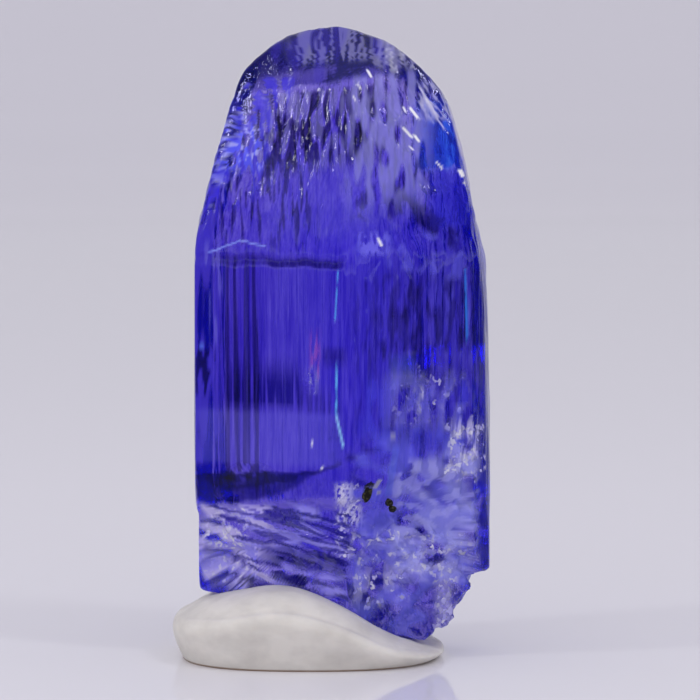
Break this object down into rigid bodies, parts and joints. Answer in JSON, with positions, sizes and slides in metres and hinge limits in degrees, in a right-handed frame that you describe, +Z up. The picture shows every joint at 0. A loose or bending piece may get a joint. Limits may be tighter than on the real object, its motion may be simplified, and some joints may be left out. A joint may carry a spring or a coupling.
{
  "type": "rough tanzanite crystal",
  "caption": "Rough gem crystal with a striated prism, an etched domed top and a broken foot, standing upright in a small pressed pad of mounting putty.",
  "frame": {"origin": "under the middle of the whole object, on the surface that the putty pad rests on", "axes": "+Z up along the crystal, -Y towards the viewer of the striated front faces, +X to the viewer's right"},
  "size_m": [0.0102, 0.0072, 0.0201],
  "materials": {
    "crystal": "clear violet-blue crystal with a vitreous, finely striated natural surface",
    "putty": "matt, slightly waxy white putty",
    "graphite": "dark graphite flakes with a dull sheen"
  },
  "bodies": {
    "root": {"tanzanite_crystal": "crystal", "putty_pad": "putty"}
  },
  "joints": []
}
